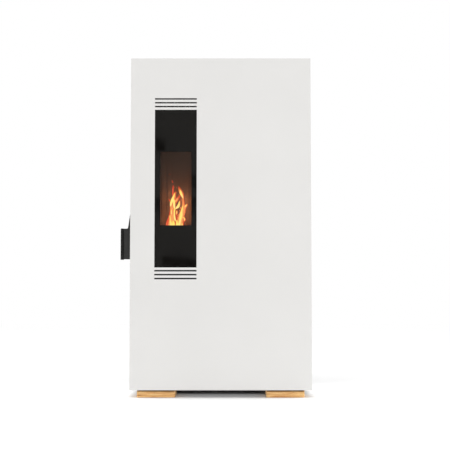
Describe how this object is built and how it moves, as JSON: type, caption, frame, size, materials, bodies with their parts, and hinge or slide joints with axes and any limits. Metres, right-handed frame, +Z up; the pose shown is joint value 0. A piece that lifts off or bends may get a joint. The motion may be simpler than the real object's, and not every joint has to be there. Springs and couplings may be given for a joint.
{
  "type": "pellet stove",
  "caption": "Slim upright pellet stove: full-height white steel door with a narrow black glass window, side handle, top hopper lid, rear flue spigot, oak foot blocks.",
  "frame": {"origin": "on the floor under the middle of the whole stove, handle and flue spigot included", "axes": "+Z up, the front faces -Y, +X to the right seen from the front"},
  "size_m": [0.6312, 0.425, 1.1375],
  "materials": {
    "white_paint": "satin white powder coat",
    "oak": "oiled oak",
    "black_paint": "matt black high-temperature paint",
    "ceramic_glass": "ceramic glass printed black round a clear field",
    "cast_iron": "raw cast iron",
    "vermiculite": "pressed vermiculite board",
    "galvanised": "galvanised sheet",
    "steel": "zinc-plated steel",
    "aluminium": "cast aluminium",
    "rope": "glass-fibre rope and tape",
    "seal_rubber": "silicone seal",
    "black_plastic": "moulded black plastic",
    "button_plastic": "glossy grey plastic",
    "display_glass": "dark display window"
  },
  "bodies": {
    "casing": {"front_feet": "oak", "rear_feet": "oak", "base_plate": "black_paint", "foot_screws": "steel", "left_side_panel": "white_paint", "right_side_panel": "white_paint", "top_panel": "white_paint", "rear_panel": "black_paint", "inner_front_plate": "black_paint", "partition_plate": "galvanised", "casing_screws": "steel", "firebox": "black_paint", "back_liner": "vermiculite", "side_liners": "vermiculite", "baffle_plate": "vermiculite", "burn_pot_holder": "cast_iron", "igniter": "steel", "intake_pipe": "galvanised", "heat_exchanger_tubes": "galvanised", "ash_drawer": "black_paint", "pellet_chute": "galvanised", "auger_tube": "galvanised", "auger_gearmotor": "aluminium", "hopper": "galvanised", "hopper_grille": "black_paint", "air_duct": "galvanised", "convection_fan_housing": "galvanised", "convection_fan_motor": "aluminium", "smoke_collector": "galvanised", "smoke_fan_housing": "aluminium", "smoke_fan_motor": "aluminium", "flue_spigot": "galvanised", "lid_hinges": "black_paint", "lid_seal": "seal_rubber", "control_panel": "black_plastic", "display_window": "display_glass", "control_box": "black_plastic", "mains_inlet": "black_plastic", "hinge_arms": "black_paint", "catch_pins": "black_paint"},
    "door": {"front_panel": "white_paint", "glass_gasket": "rope", "door_glass": "ceramic_glass", "door_frame": "black_paint", "door_rope_seal": "rope", "door_nuts": "steel", "door_stiffeners": "black_paint", "door_hinge_lugs": "black_paint", "latch_brackets": "black_paint"},
    "door_latch": {"latch_rod": "black_paint", "door_handle": "black_paint"},
    "burn_pot": {"burn_pot": "cast_iron"},
    "hopper_lid": {"hopper_lid": "white_paint"},
    "auger_screw": {"auger_screw": "steel"},
    "convection_fan_impeller": {"convection_fan_impeller": "galvanised"},
    "smoke_fan_impeller": {"smoke_fan_impeller": "steel"},
    "power_switch": {"power_switch": "black_plastic"},
    "power_button": {"power_button": "button_plastic"},
    "down_button": {"down_button": "button_plastic"},
    "up_button": {"up_button": "button_plastic"}
  },
  "joints": [
    {"name": "door_hinge", "type": "hinge", "parent": "casing", "child": "door", "pos_m": [0.3056, -0.2025, 0.064], "axis": [0, 0, 1], "range_deg": [0, 100]},
    {"name": "handle_turn", "type": "hinge", "parent": "door", "child": "door_latch", "pos_m": [-0.2604, -0.1985, 0.505], "axis": [0, 0, 1], "range_deg": [0, 20]},
    {"name": "hopper_lid_hinge", "type": "hinge", "parent": "casing", "child": "hopper_lid", "pos_m": [0.14875, 0.1075, 1.1325], "axis": [-1, 0, 0], "range_deg": [0, 80]},
    {"name": "burn_pot_lift", "type": "slide", "parent": "casing", "child": "burn_pot", "axis": [0, 0, 1], "range_m": [0, 0.04]},
    {"name": "auger_spin", "type": "hinge", "parent": "casing", "child": "auger_screw", "pos_m": [0.2406, -0.0425, 0.5], "axis": [-0.7071, 0, 0.7071], "continuous": true},
    {"name": "convection_fan_spin", "type": "hinge", "parent": "casing", "child": "convection_fan_impeller", "pos_m": [-0.1341, 0.0255, 0.185], "axis": [1, 0, 0], "continuous": true},
    {"name": "smoke_fan_spin", "type": "hinge", "parent": "casing", "child": "smoke_fan_impeller", "pos_m": [0.0769, -0.0175, 0.168], "axis": [1, 0, 0], "continuous": true},
    {"name": "power_switch_rock", "type": "hinge", "parent": "casing", "child": "power_switch", "pos_m": [0.2456, 0.1645, 0.122], "axis": [-1, 0, 0], "range_deg": [0, 14]},
    {"name": "power_button_press", "type": "slide", "parent": "casing", "child": "power_button", "axis": [0, 0, -1], "range_m": [0, 0.001], "stiffness_N_per_m": 1000, "springref_m": -0.0005},
    {"name": "down_button_press", "type": "slide", "parent": "casing", "child": "down_button", "axis": [0, 0, -1], "range_m": [0, 0.001], "stiffness_N_per_m": 1000, "springref_m": -0.0005},
    {"name": "up_button_press", "type": "slide", "parent": "casing", "child": "up_button", "axis": [0, 0, -1], "range_m": [0, 0.001], "stiffness_N_per_m": 1000, "springref_m": -0.0005}
  ]
}
